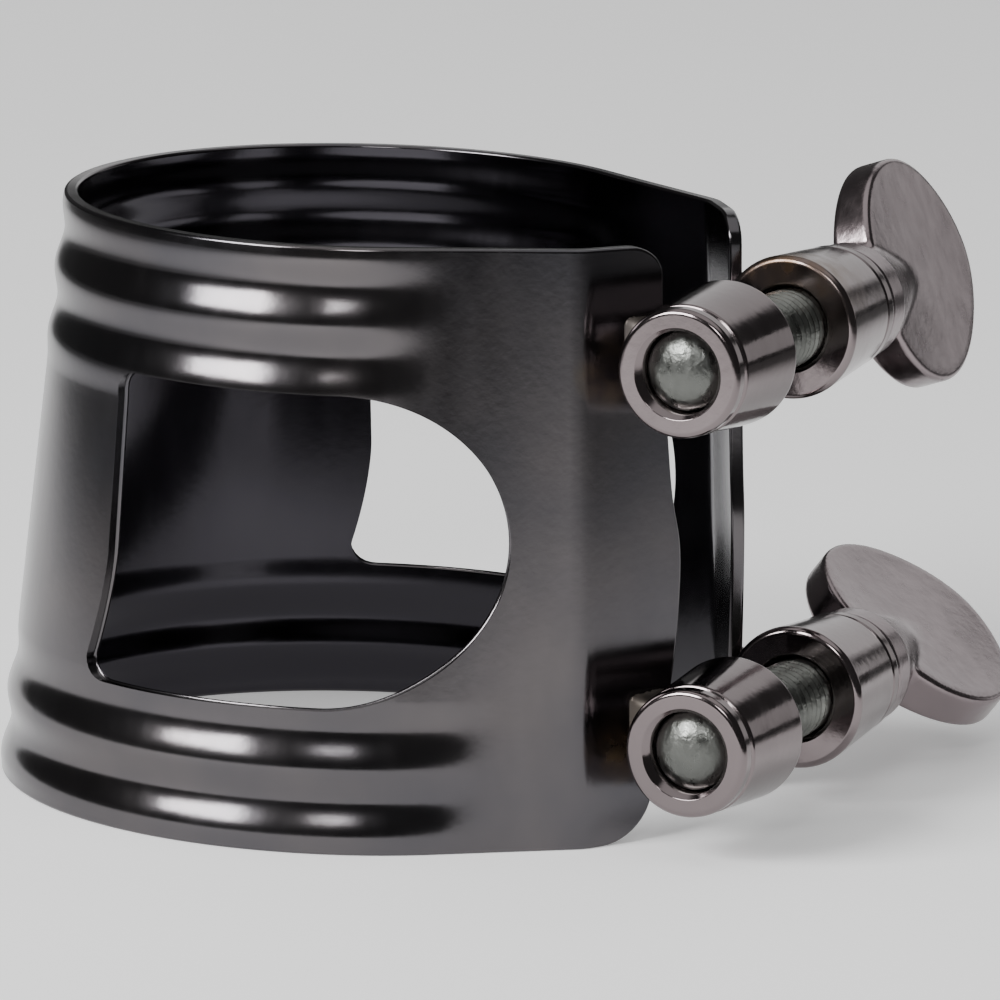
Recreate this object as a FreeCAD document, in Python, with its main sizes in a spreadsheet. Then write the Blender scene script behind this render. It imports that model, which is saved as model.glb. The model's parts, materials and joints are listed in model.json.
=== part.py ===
"""Saxophone ligature: a sprung sheet band with two screws drawn through brazed posts.

Millimetres. The origin is on the axis of the band, in the plane of its lower rim.
+Z points up the mouthpiece, -Y through the seam, and both screws lie along X.
"""
import FreeCAD, Part
import math
import os
import re
import Sketcher

SIZES = {
    # band
    "band_height": 25.0,
    "top_radius": 12.7,
    "bottom_radius": 15.0,
    "band_wall": 0.6,
    "bend_radius": 2.2,
    # ears: a bend across the front, in front of the round, then a flat run to the lip
    "top_bend_across": 7.1,
    "top_bend_reach": 0.5,
    "bottom_bend_across": 7.8,
    "bottom_bend_reach": -0.7,
    "top_lip_across": 3.4,
    "top_lip_reach": 2.87,
    "bottom_lip_across": 2.6,
    "bottom_lip_reach": 2.81,
    # seam between the two ears
    "seam_waist": 3.4,
    "seam_top": 4.15,
    "seam_bottom": 4.6,
    "seam_waist_height": 11.0,
    "ear_top_corner": 1.25,
    "ear_bottom_corner": 2.4,
    # windows
    "window_top_margin": 5.92,
    "window_bottom": 5.77,
    "window_end_centre": 4.65,
    "window_spine_edge": 5.6,
    "window_flare": 1.3,
    "window_flare_height": 11.5,
    "window_corner": 1.0,
    # beads rolled into the round of the band
    "bead_width": 1.5,
    "bead_rise": 0.35,
    "bead_root": 0.3,
    "bottom_bead_margin": 1.0,
    "bottom_bead_pitch": 2.6,
    "bottom_bead_sweep": 262.0,
    "top_bead_margin": 3.13,
    "top_bead_pitch": 2.9,
    "top_bead_sweep": 250.0,
    # posts
    "post_inner": 3.04,
    "post_length": 5.5,
    "post_inner_radius": 3.08,
    "post_outer_radius": 2.7,
    "post_ring": 0.7,
    "post_groove": 0.16,
    "post_groove_run": 0.2,
    "post_mouth": 0.3,
    "post_edge": 0.25,
    "upper_post_seat": 1.61,
    "upper_axis_drop": 4.4,
    "lower_post_seat": 1.76,
    "lower_axis_rise": 4.79,
    # solder feet behind the posts
    "braze_height": 2.6,
    "braze_inset": 0.3,
    "braze_length": 1.25,
    "braze_overlap": 0.45,
    # screws
    "screw_radius": 1.65,
    "screw_pitch": 0.5,
    "thread_depth": 0.22,
    "thread_length": 13.0,
    "thread_clearance": 0.05,
    "plain_clearance": 0.1,
    "thread_flank": 0.21,
    "thread_overrun": 0.05,
    "screw_tip": 0.5,
    "screw_recess": 0.2,
    "screw_seat": 2.2,
    # thumb heads
    "head_gap": 0.15,
    "neck_radius": 2.55,
    "neck_edge": 0.2,
    "neck_shoulder": 1.3,
    "neck_waist": 1.9,
    "neck_length": 2.6,
    "neck_core": 0.7,
    "neck_core_length": 7.2,
    "paddle_start": 2.75,
    "paddle_radius": 4.95,
    "paddle_thickness": 2.1,
    "paddle_edge": 0.7,
    "upper_paddle_turn": -20.0,
    "lower_paddle_turn": -53.5,
}

doc = FreeCAD.newDocument("saxophone_ligature")
sheet = doc.addObject("Spreadsheet::Sheet", "Sizes")
for row, (alias, value) in enumerate(SIZES.items(), start=1):
    sheet.set(f"A{row}", alias)
    sheet.set(f"B{row}", str(value))
    sheet.setAlias(f"B{row}", alias)
doc.recompute()

nodes = []

TOP = "band_height"
WINDOW_TOP = f"({TOP} - window_top_margin)"
POST_OUTER = "(post_inner + post_length)"
HEAD_START = f"({POST_OUTER} + head_gap)"
SCREW_SEAT = f"({HEAD_START} + screw_seat)"
SCREW_TIP = f"(-{POST_OUTER} + screw_recess)"
OVERRUN = "1"
NEAR_CORNER = "0.3"


def bound(text):
    """Turn the plain names of sizes in a formula into references to the sheet."""
    return re.sub(r"[a-z_]+", lambda word: f"Sizes.{word[0]}" if word[0] in SIZES else word[0], text)


def value_of(text):
    return float(sheet.evalExpression(bound(text)))


def new_body(name):
    body = doc.addObject("PartDesign::Body", name)
    body.Label = name
    return body


def new_sketch(body, name, role, height="0"):
    """A sketch on one of the body's own origin planes, moved along the plane's normal."""
    sketch = body.newObject("Sketcher::SketchObject", name)
    plane = [item for item in body.Origin.OriginFeatures if item.Role == role][0]
    sketch.AttachmentSupport = [(plane, "")]
    sketch.MapMode = "FlatFace"
    sketch.setExpression("AttachmentOffset.Base.z", bound(height))
    return sketch


def hold(sketch, kind, where, formula):
    """Add one dimension to a sketch and bind it to the sheet."""
    index = sketch.addConstraint(Sketcher.Constraint(kind, *where, value_of(formula)))
    sketch.setExpression(f"Constraints[{index}]", bound(formula))


def counter_clockwise(start, middle, finish):
    """The arc through three points, and whether it runs counter-clockwise from the first."""
    through = Part.Arc(start, middle, finish).toShape().Curve
    circle = Part.Circle(through.Center, FreeCAD.Vector(0, 0, 1), through.Radius)
    forward = (middle - start).cross(finish - middle).z > 0
    first, last = (start, finish) if forward else (finish, start)
    return Part.ArcOfCircle(circle, circle.parameter(first), circle.parameter(last)), forward


def outline(sketch, corners, arcs=None):
    """A closed outline through corners of formulas (x, y).

    An edge that is an arc is given as edge: (bulge point, "Radius" or "Centre", formula).
    """
    arcs = arcs or {}
    points = [FreeCAD.Vector(value_of(x), value_of(y), 0) for x, y in corners]
    ends = []
    for edge, start in enumerate(points):
        finish = points[(edge + 1) % len(points)]
        if edge in arcs:
            (bulge_x, bulge_y), kind, formula = arcs[edge]
            middle = FreeCAD.Vector(value_of(bulge_x), value_of(bulge_y), 0)
            arc, forward = counter_clockwise(start, middle, finish)
            sketch.addGeometry(arc)
            ends.append((1, 2) if forward else (2, 1))
            if kind == "Radius":
                hold(sketch, "Radius", (edge,), formula)
            else:
                hold(sketch, "DistanceX", (edge, 3), formula)
        else:
            sketch.addGeometry(Part.LineSegment(start, finish))
            ends.append((1, 2))
    for edge, (x, y) in enumerate(corners):
        before = (edge - 1) % len(corners)
        joint = Sketcher.Constraint("Coincident", before, ends[before][1], edge, ends[edge][0])
        sketch.addConstraint(joint)
        hold(sketch, "DistanceX", (edge, ends[edge][0]), x)
        hold(sketch, "DistanceY", (edge, ends[edge][0]), y)


def bend_front(rim):
    """Formula for how far in front of the axis of the band an ear is bent, at one rim."""
    return f"({rim}_radius + {rim}_bend_reach)"


def lip_front(rim):
    """Formula for how far in front of the axis of the band the flat run of an ear ends."""
    return f"({bend_front(rim)} + {rim}_lip_reach)"


def band_section(sketch, rim):
    """Half of the band's section: round back, straight run, bend and lip, all one wall thick."""
    knee = FreeCAD.Vector(value_of(f"{rim}_bend_across"), -value_of(bend_front(rim)), 0)
    lip = FreeCAD.Vector(value_of(f"{rim}_lip_across"), -value_of(lip_front(rim)), 0)
    radius, wall, bend = (value_of(size) for size in (f"{rim}_radius", "band_wall", "bend_radius"))
    angle = math.atan2(knee.y, knee.x) + math.acos(radius / knee.Length)
    outward = FreeCAD.Vector(math.cos(angle), math.sin(angle), 0)
    touch = outward * radius
    run = (knee - touch).normalize()
    lip_run = (lip - knee).normalize()
    lip_outward = FreeCAD.Vector(-lip_run.y, lip_run.x, 0)
    setback = bend * math.tan(run.getAngle(lip_run) / 2)
    bend_start = knee - run * setback
    bend_end = knee + lip_run * setback
    centre = bend_start - outward * bend
    origin = FreeCAD.Vector()
    normal = FreeCAD.Vector(0, 0, 1)

    def arc(middle, size, first, last):
        return Part.ArcOfCircle(Part.Circle(middle, normal, size), first, last)

    start_angle = math.atan2(lip_outward.y, lip_outward.x)
    parts = [
        arc(origin, radius, angle, math.pi / 2),
        Part.LineSegment(touch, bend_start),
        arc(centre, bend, start_angle, angle),
        Part.LineSegment(bend_end, lip),
        Part.LineSegment(lip, lip - lip_outward * wall),
        Part.LineSegment(lip - lip_outward * wall, bend_end - lip_outward * wall),
        arc(centre, bend - wall, start_angle, angle),
        Part.LineSegment(bend_start - outward * wall, touch - outward * wall),
        arc(origin, radius - wall, angle, math.pi / 2),
        Part.LineSegment(FreeCAD.Vector(0, radius - wall, 0), FreeCAD.Vector(0, radius, 0)),
    ]
    sketch.addGeometry(parts)
    sketch.addGeometry(Part.Point(knee), True)
    for link in (
        ("Coincident", 0, 3, -1, 1), ("Coincident", 8, 3, -1, 1), ("Coincident", 6, 3, 2, 3),
        ("Tangent", 0, 1, 1, 1), ("Tangent", 1, 2, 2, 2), ("Tangent", 2, 1, 3, 1),
        ("Coincident", 3, 2, 4, 1), ("Coincident", 4, 2, 5, 1), ("Perpendicular", 3, 4),
        ("Tangent", 5, 2, 6, 1), ("Tangent", 6, 2, 7, 1), ("Tangent", 7, 2, 8, 1),
        ("Coincident", 8, 2, 9, 1), ("Coincident", 9, 2, 0, 2),
        ("PointOnObject", 0, 2, -2), ("PointOnObject", 8, 2, -2),
        ("Parallel", 1, 7), ("Parallel", 3, 5),
        ("PointOnObject", 10, 1, 1), ("PointOnObject", 10, 1, 3),
    ):
        sketch.addConstraint(Sketcher.Constraint(*link))
    hold(sketch, "Radius", (0,), f"{rim}_radius")
    hold(sketch, "Radius", (8,), f"{rim}_radius - band_wall")
    hold(sketch, "Radius", (2,), "bend_radius")
    hold(sketch, "DistanceX", (10, 1), f"{rim}_bend_across")
    hold(sketch, "DistanceY", (10, 1), f"-{bend_front(rim)}")
    hold(sketch, "DistanceX", (3, 2), f"{rim}_lip_across")
    hold(sketch, "DistanceY", (3, 2), f"-{lip_front(rim)}")


def make_band():
    """The sheet band, lofted between its two rims, then beaded, windowed and split."""
    body = new_body("band")
    low = new_sketch(body, "lower_rim", "XY_Plane")
    band_section(low, "bottom")
    high = new_sketch(body, "upper_rim", "XY_Plane", TOP)
    band_section(high, "top")
    doc.recompute()
    half = body.newObject("PartDesign::AdditiveLoft", "half_band")
    half.Profile = low
    half.Sections = [high]
    half.Ruled = True
    doc.recompute()
    whole = body.newObject("PartDesign::Mirrored", "both_halves")
    whole.Originals = [half]
    plane = [item for item in body.Origin.OriginFeatures if item.Role == "YZ_Plane"][0]
    whole.MirrorPlane = (plane, [""])
    body.Tip = whole
    doc.recompute()

    for rim, start, way in (("bottom", "", "+"), ("top", f"{TOP} - ", "-")):
        outer = f"({start}{rim}_bead_margin)"
        inner = f"({start}{rim}_bead_margin {way} {rim}_bead_pitch)"
        add_bead(body, f"{rim}_outer_bead", outer, f"{rim}_bead_sweep")
        add_bead(body, f"{rim}_inner_bead", inner, f"{rim}_bead_sweep")
    cut_windows(body)
    cut_seam(body)
    nodes.append(body)
    return body


def radius_at(height):
    """Formula for the outer radius of the round of the band at a height."""
    return f"(bottom_radius + (top_radius - bottom_radius) * ({height}) / band_height)"


def add_bead(body, name, height, sweep):
    """One rolled bead: a rounded rib outside and the matching groove inside."""
    axis = [item for item in body.Origin.OriginFeatures if item.Role == "Z_Axis"][0]
    for kind, depth, root in (("Revolution", "0", "band_wall / 2"), ("Groove", "band_wall", "bead_root")):
        sketch = new_sketch(body, f"{name}_{kind.lower()}_profile", "YZ_Plane")
        face = f"{radius_at(height)} - {depth}"
        low = f"{height} - bead_width / 2"
        high = f"{height} + bead_width / 2"
        inset = f"{face} - {root}"
        outline(sketch, [(inset, low), (face, low), (face, high), (inset, high)],
                {1: ((f"{face} + bead_rise", height), "Radius",
                     "(bead_rise ^ 2 + (bead_width / 2) ^ 2) / (2 * bead_rise)")})
        feature = body.newObject(f"PartDesign::{kind}", f"{name}_{kind.lower()}")
        feature.Profile = sketch
        feature.ReferenceAxis = (axis, [""])
        feature.Midplane = True
        feature.setExpression("Angle", bound(sweep))
        doc.recompute()


def cut_windows(body):
    """Both windows at once: a round end toward the seam and a flared edge by the spine."""
    sketch = new_sketch(body, "window_outline", "YZ_Plane")
    low_edge = "window_spine_edge + window_flare"
    outline(sketch, [
        ("-window_end_centre", WINDOW_TOP),
        ("-window_end_centre", "window_bottom"),
        (f"{low_edge} - window_corner", "window_bottom"),
        (low_edge, "window_bottom + window_corner"),
        ("window_spine_edge", "window_flare_height"),
        ("window_spine_edge", f"{WINDOW_TOP} - window_corner"),
        ("window_spine_edge - window_corner", WINDOW_TOP),
    ], {
        0: ((f"-window_end_centre - ({WINDOW_TOP} - window_bottom) / 2",
             f"({WINDOW_TOP} + window_bottom) / 2"), "Centre", "-window_end_centre"),
        2: ((f"{low_edge} - {NEAR_CORNER} * window_corner",
             f"window_bottom + {NEAR_CORNER} * window_corner"), "Radius", "window_corner"),
        5: ((f"window_spine_edge - {NEAR_CORNER} * window_corner",
             f"{WINDOW_TOP} - {NEAR_CORNER} * window_corner"), "Radius", "window_corner"),
    })
    pocket = body.newObject("PartDesign::Pocket", "windows")
    pocket.Profile = sketch
    pocket.Type = 1
    pocket.Midplane = True
    doc.recompute()


def cut_seam(body):
    """Trim both ears: bowed free edges with rounded corners, mirrored about the seam."""
    sketch = new_sketch(body, "seam_outline", "XZ_Plane")
    low = [("(seam_bottom + ear_bottom_corner)", f"-{OVERRUN}"),
           ("(seam_bottom + ear_bottom_corner)", "0"), ("seam_bottom", "ear_bottom_corner")]
    high = [("seam_top", f"{TOP} - ear_top_corner"), ("(seam_top + ear_top_corner)", TOP),
            ("(seam_top + ear_top_corner)", f"{TOP} + {OVERRUN}")]
    right = low + high
    left = [(f"-{x}", z) for x, z in reversed(right)]
    low_bulge = f"(seam_bottom + {NEAR_CORNER} * ear_bottom_corner)"
    high_bulge = f"(seam_top + {NEAR_CORNER} * ear_top_corner)"
    rounds = [
        (low_bulge, f"{NEAR_CORNER} * ear_bottom_corner", "ear_bottom_corner"),
        ("seam_waist", "seam_waist_height", seam_radius()),
        (high_bulge, f"{TOP} - {NEAR_CORNER} * ear_top_corner", "ear_top_corner"),
    ]
    arcs = {}
    for index, (x, z, radius) in enumerate(rounds, start=1):
        arcs[index] = ((x, z), "Radius", radius)
        arcs[len(right) + len(left) - 2 - index] = ((f"-{x}", z), "Radius", radius)
    outline(sketch, right + left, arcs)
    pocket = body.newObject("PartDesign::Pocket", "seam")
    pocket.Profile = sketch
    pocket.Type = 1
    pocket.Reversed = True
    doc.recompute()


def seam_radius():
    """Formula for the radius of an ear's bowed edge, from its chord and its sagitta."""
    run = "(band_height - ear_top_corner - ear_bottom_corner)"
    sag = "((seam_top + seam_bottom) / 2 - seam_waist)"
    chord = f"({run} ^ 2 + (seam_bottom - seam_top) ^ 2)"
    return f"({chord} / 4 + {sag} ^ 2) / (2 * {sag})"


def post_profile(body, bore):
    """Turned barrel: ring at the outer end, a fine groove, and a body that swells to the seam."""
    sketch = new_sketch(body, "post_profile", "XZ_Plane")
    ring = f"({POST_OUTER} - post_ring)"
    outline(sketch, [
        ("post_inner", f"{bore} + post_mouth"),
        ("post_inner", "post_inner_radius - post_edge"),
        ("post_inner + post_edge", "post_inner_radius"),
        (f"{ring} - post_groove_run", "post_outer_radius"),
        (f"{ring} - post_groove_run / 2", "post_outer_radius - post_groove"),
        (ring, "post_outer_radius"),
        (f"{POST_OUTER} - post_edge", "post_outer_radius"),
        (POST_OUTER, "post_outer_radius - post_edge"),
        (POST_OUTER, f"{bore} + post_mouth"),
        (f"{POST_OUTER} - post_mouth", bore),
        ("post_inner + post_mouth", bore),
    ])
    return sketch


def revolve(body, sketch, name):
    axis = [item for item in body.Origin.OriginFeatures if item.Role == "X_Axis"][0]
    feature = body.newObject("PartDesign::Revolution", name)
    feature.Profile = sketch
    feature.ReferenceAxis = (axis, [""])
    feature.Angle = 360.0
    doc.recompute()
    return feature


def on_axis(item, level, mirrored=False):
    """Place a piece on the upper or lower screw axis; mirrored turns it end for end."""
    item.setExpression("Placement.Base.y", bound(f"-{axis_front(level)}"))
    item.setExpression("Placement.Base.z", bound(axis_height(level)))
    if mirrored:
        item.Placement.Rotation = FreeCAD.Rotation(FreeCAD.Vector(0, 0, 1), 180)


def cut(name, base, tool):
    feature = doc.addObject("Part::Cut", name)
    feature.Base = base
    feature.Tool = tool
    feature.Label = name
    doc.recompute()
    return feature


def axis_height(level):
    """Formula for the height of a screw axis, kept from the nearer rim."""
    return f"({TOP} - upper_axis_drop)" if level == "upper" else "lower_axis_rise"


def at_level(level, low, high):
    """Formula for a size of the band level with one screw axis, between its two rims."""
    return f"({low} + ({high} - {low}) * {axis_height(level)} / {TOP})"


def axis_front(level):
    """Formula for how far in front a screw axis lies, so that its posts sit on the ears."""
    bend = at_level(level, bend_front("bottom"), bend_front("top"))
    return f"({bend} + {level}_post_seat + post_inner_radius)"


def make_post(level, side, band):
    """One barrel on the ear, saddled to its edge, with the braze foot behind it."""
    threaded = side == "threaded"
    clearance = "thread_clearance" if threaded else "plain_clearance"
    barrel = new_body(f"{level}_{side}_barrel")
    profile = post_profile(barrel, f"screw_radius + {clearance}")
    revolve(barrel, profile, "turned_barrel")
    on_axis(barrel, level, mirrored=threaded)
    doc.recompute()
    post = cut(f"{level}_{side}_post", barrel, band)

    foot = new_body(f"{level}_{side}_foot")
    sketch = new_sketch(foot, "foot_plan", "XY_Plane")
    sign = "-" if threaded else ""
    across = at_level(level, "bottom_bend_across", "top_bend_across")
    front = at_level(level, bend_front("bottom"), bend_front("top"))
    lip_across = at_level(level, "bottom_lip_across", "top_lip_across")
    lip = at_level(level, lip_front("bottom"), lip_front("top"))
    slope = f"(({lip} - {front}) / ({across} - {lip_across}))"
    inner = "(seam_top + braze_inset)"
    outer = f"({inner} + braze_length)"
    back = f"-({axis_front(level)} - post_outer_radius + braze_overlap)"
    ear = [(f"{sign}{x}", f"-({front} + ({across} - {x}) * {slope} - band_wall / 2)") for x in (outer, inner)]
    outline(sketch, ear + [(f"{sign}{inner}", back), (f"{sign}{outer}", back)])
    pad = foot.newObject("PartDesign::Pad", "foot_block")
    pad.Profile = sketch
    pad.setExpression("Length", bound("braze_height"))
    pad.Midplane = True
    foot.setExpression("Placement.Base.z", bound(axis_height(level)))
    doc.recompute()
    seated = cut(f"{level}_{side}_seated_foot", foot, band)
    braze = cut(f"{level}_{side}_braze", seated, barrel)
    nodes.extend([post, braze])


def make_screw(level):
    """Threaded shank from the tip, flush in the threaded post, to its seat in the head."""
    body = new_body(f"{level}_screw_shank")
    sketch = new_sketch(body, "shank_profile", "XZ_Plane")
    outline(sketch, [
        (SCREW_TIP, "0"),
        (SCREW_TIP, "screw_radius - screw_tip"),
        (f"{SCREW_TIP} + screw_tip", "screw_radius"),
        (SCREW_SEAT, "screw_radius"),
        (SCREW_SEAT, "0"),
    ])
    revolve(body, sketch, "shank")
    thread = new_sketch(body, "thread_groove", "XZ_Plane")
    first = f"{SCREW_TIP} + screw_tip + screw_pitch"
    outline(thread, [
        (first, "screw_radius - thread_depth"),
        (f"{first} + thread_flank", "screw_radius + thread_overrun"),
        (f"{first} - thread_flank", "screw_radius + thread_overrun"),
    ])
    axis = [item for item in body.Origin.OriginFeatures if item.Role == "X_Axis"][0]
    groove = body.newObject("PartDesign::Groove", "one_turn")
    groove.Profile = thread
    groove.ReferenceAxis = (axis, [""])
    groove.Angle = 360.0
    doc.recompute()
    turns = body.newObject("PartDesign::LinearPattern", "turns")
    turns.Originals = [groove]
    turns.Direction = (axis, [""])
    turns.setExpression("Length", bound("thread_length"))
    turns.setExpression("Occurrences", bound("floor(thread_length / screw_pitch) + 1"))
    body.Tip = turns
    on_axis(body, level)
    doc.recompute()
    nodes.append(body)


def make_head(level):
    """Thumb head: a turned neck that runs into an oval paddle in the plane of the axis."""
    body = new_body(f"{level}_thumb_head")
    neck = new_sketch(body, "neck_profile", "XZ_Plane")
    outline(neck, [
        (HEAD_START, "0"),
        (HEAD_START, "neck_radius - neck_edge"),
        (f"{HEAD_START} + neck_edge", "neck_radius"),
        (f"{HEAD_START} + neck_shoulder", "neck_radius"),
        (f"{HEAD_START} + neck_length", "neck_waist"),
        (f"{HEAD_START} + neck_core_length", "neck_core"),
        (f"{HEAD_START} + neck_core_length", "0"),
    ])
    revolve(body, neck, "neck")
    plan = new_sketch(body, "paddle_plan", "XZ_Plane")
    middle = f"({HEAD_START} + paddle_start + paddle_radius)"
    outline(plan, [(middle, "-paddle_radius"), (middle, "paddle_radius")], {
        0: ((f"{middle} + paddle_radius", "0"), "Centre", middle),
        1: ((f"{middle} - paddle_radius", "0"), "Centre", middle),
    })
    paddle = body.newObject("PartDesign::Pad", "paddle")
    paddle.Profile = plan
    paddle.setExpression("Length", bound("paddle_thickness"))
    paddle.Midplane = True
    doc.recompute()
    rim = [f"Edge{index}" for index, edge in enumerate(paddle.Shape.Edges, start=1)
           if is_paddle_rim(edge)]
    soften = body.newObject("PartDesign::Fillet", "paddle_rim")
    soften.Base = (paddle, rim)
    soften.setExpression("Radius", bound("paddle_edge"))
    doc.recompute()
    socket = new_sketch(body, "socket_profile", "XZ_Plane")
    outline(socket, [(HEAD_START, "0"), (HEAD_START, "screw_radius"),
                     (SCREW_SEAT, "screw_radius"), (SCREW_SEAT, "0")])
    bore = body.newObject("PartDesign::Groove", "socket")
    bore.Profile = socket
    bore.ReferenceAxis = ([item for item in body.Origin.OriginFeatures if item.Role == "X_Axis"][0], [""])
    bore.Angle = 360.0
    body.Tip = bore
    on_axis(body, level)
    body.setExpression("Placement.Rotation.Angle", bound(f"{level}_paddle_turn"))
    body.Placement.Rotation.Axis = FreeCAD.Vector(1, 0, 0)
    doc.recompute()
    nodes.append(body)


def is_paddle_rim(edge):
    """True for the long edges round the two flat faces of the paddle, clear of the neck."""
    half = value_of("paddle_thickness") / 2
    clear = value_of("neck_radius")
    box = edge.BoundBox
    flat = abs(abs(box.YMin) - half) < 1e-3 and box.YLength < 1e-3
    return flat and max(box.ZMax, -box.ZMin) > clear


band = make_band()
for level in ("upper", "lower"):
    for side in ("threaded", "plain"):
        make_post(level, side, band)
    make_screw(level)
    make_head(level)
doc.recompute()

for item in doc.Objects:
    faults = [state for state in item.State if state in ("Invalid", "Error")]
    if faults:
        raise RuntimeError(f"{item.Name}: {faults}")
for node in nodes:
    if node.Shape.isNull() or not node.Shape.isValid():
        raise RuntimeError(f"{node.Label}: no valid shape")

os.makedirs("parts", exist_ok=True)
for node in nodes:
    node.Shape.exportStep(f"parts/{node.Label}.step")
    print(node.Label, len(node.Shape.Solids), round(node.Shape.Volume, 3))
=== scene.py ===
"""Saxophone ligature in black nickel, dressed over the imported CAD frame.

Shapes are worked out in millimetres in the frame's own axes and scaled to metres as
each mesh is made. +Z runs up the mouthpiece, -Y through the seam, the screws lie along X.
"""

import json
import math

import bpy
import numpy as np
from mathutils import Matrix, Vector, geometry, kdtree


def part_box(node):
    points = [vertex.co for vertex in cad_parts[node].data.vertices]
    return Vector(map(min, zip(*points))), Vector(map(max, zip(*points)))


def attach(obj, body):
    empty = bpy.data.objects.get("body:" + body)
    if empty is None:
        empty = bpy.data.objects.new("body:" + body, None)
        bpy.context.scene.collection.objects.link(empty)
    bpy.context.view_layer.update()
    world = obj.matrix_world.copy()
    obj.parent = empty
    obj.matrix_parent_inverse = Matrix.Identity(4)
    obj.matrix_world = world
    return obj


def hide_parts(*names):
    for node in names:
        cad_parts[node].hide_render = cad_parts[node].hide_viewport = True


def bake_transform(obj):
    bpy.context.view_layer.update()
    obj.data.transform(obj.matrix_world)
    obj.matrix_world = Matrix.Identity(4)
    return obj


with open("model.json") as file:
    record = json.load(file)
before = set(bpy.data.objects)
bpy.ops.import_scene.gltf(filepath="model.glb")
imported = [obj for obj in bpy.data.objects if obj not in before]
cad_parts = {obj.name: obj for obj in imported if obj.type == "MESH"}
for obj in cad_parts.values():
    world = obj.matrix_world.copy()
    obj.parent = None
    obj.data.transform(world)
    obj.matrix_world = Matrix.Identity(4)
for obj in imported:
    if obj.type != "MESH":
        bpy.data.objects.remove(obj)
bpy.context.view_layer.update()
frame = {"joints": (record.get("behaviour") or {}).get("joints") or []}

MM = 0.001
LEVELS = ("upper", "lower")


# ---------------------------------------------------------------- sizes, in millimetres
def span(node):
    """Lowest and highest corner of a node of the frame, in millimetres."""
    low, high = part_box(node)
    return np.array(low) / MM, np.array(high) / MM


HEIGHT = span("band")[1][2]
WALL = 0.6
BEND = 2.2
TOP_RIM = {"radius": 12.7, "knee": (7.1, -13.2), "lip": (3.4, -16.07)}
LOW_RIM = {"radius": 15.0, "knee": (7.8, -14.3), "lip": (2.6, -17.11)}
EAR_EDGE = ((2.4, 4.6), (6.0, 3.85), (10.0, 3.42), (12.5, 3.43), (14.1, 3.69),
            (16.9, 3.93), (19.4, 4.08), (23.3, 4.18))
EAR_TOP_CORNER = 1.25
EAR_LOW_CORNER = 2.4
EDGE_ROUND = 0.14
# name of the mask of the sheet's inner face, which is painted darker as shade
INSIDE = "inside"

WINDOW_TOP = 19.08
WINDOW_LOW = 5.77
WINDOW_CENTRE = -4.65
WINDOW_SPINE = 5.6
WINDOW_FLARE = 1.3
WINDOW_FLARE_START = 11.5
WINDOW_CORNER = 1.1

LOW_WAVE = ((0.0, 0.05), (0.75, 0.14), (2.15, -0.14), (3.55, 0.17), (5.1, -0.12), (6.4, 0.0))
TOP_WAVE = ((17.7, 0.0), (18.97, 0.12), (20.4, -0.13), (21.85, 0.14), (23.3, -0.12),
            (24.6, 0.09), (25.0, 0.07))
WAVES = ((LOW_WAVE, 35.6), (TOP_WAVE, 29.8))
WAVE_FADE = 6.0

POST_IN = span("upper_plain_post")[0][0]
POST_OUT = span("upper_plain_post")[1][0]
POST_IN_RADIUS = 3.08
POST_OUT_RADIUS = 2.7
POST_RING = 0.72
POST_GROOVE = 0.2
BORE = 1.76
BORE_MOUTH = 0.16

SCREW_RADIUS = 1.65
SCREW_PITCH = 0.5
THREAD_DEPTH = 0.22
TIP_BELOW_FACE = 0.12
TIP_DOME = ((-0.02, 0.02), (0.01, 0.35), (0.06, 0.7), (0.16, 1.02), (0.3, 1.3), (0.5, 1.5),
            (0.7, SCREW_RADIUS))
THREAD_END = POST_IN + 2.0

HEAD_START = span("upper_thumb_head")[0][0]
HEAD_END = span("upper_thumb_head")[1][0]
HEAD_SEAT = 1.8
BLADE_RADIUS = 4.95
BLADE_CENTRE = HEAD_END - BLADE_RADIUS
BLADE_THICKNESS = 2.1
BLADE_RIM = 1.6
BLADE_DISH = 0.16
BLADE_OFFSET = 0.22
BLADE_TURN = {"upper": 70.0, "lower": 36.5}
NECK_RADIUS = 2.55
NECK_SHOULDER = 1.3
NECK_TAPER = 0.36

BRAZE_HALF_HEIGHT = 1.2
BRAZE_IN = 4.2
BRAZE_OUT = 5.6

CUT_STEP = 0.3
COLUMN_STEP = 0.42
WAVE_STEP = 0.16
HEAD_STEP = 0.12
BRAZE_STEP = 0.09
POST_SEGMENTS = 96
SHANK_SEGMENTS = 60


# ---------------------------------------------------------------- meshes
def add_mesh(name, points, faces, normals=None):
    """A smooth shaded mesh from points in millimetres, with its true surface normals."""
    mesh = bpy.data.meshes.new(name)
    mesh.from_pydata([tuple(point) for point in np.asarray(points) * MM], [], [tuple(face) for face in faces])
    mesh.polygons.foreach_set("use_smooth", [True] * len(mesh.polygons))
    mesh.update()
    if normals is not None:
        mesh.normals_split_custom_set_from_vertices([tuple(normal) for normal in normals])
    piece = bpy.data.objects.new(name, mesh)
    bpy.context.scene.collection.objects.link(piece)
    return piece


def bridge(near, far):
    """Quads between two closed rings of point numbers."""
    return list(zip(near, far, np.roll(far, -1), np.roll(near, -1)))


def unit(vectors):
    return vectors / np.maximum(np.linalg.norm(vectors, axis=-1, keepdims=True), 1e-12)


def smooth_step(value):
    value = np.clip(value, 0, 1)
    return value * value * (3 - 2 * value)


def curve_through(points, at):
    """Catmull-Rom curve through (position, value) points, read at the given positions."""
    places, values = (np.array(column) for column in zip(*points))
    slopes = np.gradient(values, places)
    index = np.clip(np.searchsorted(places, at) - 1, 0, len(places) - 2)
    width = places[index + 1] - places[index]
    t = np.clip((at - places[index]) / width, 0, 1)
    return (values[index] * (1 + 2 * t) * (1 - t) ** 2 + values[index + 1] * t * t * (3 - 2 * t)
            + slopes[index] * width * t * (1 - t) ** 2 - slopes[index + 1] * width * t * t * (1 - t))


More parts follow.
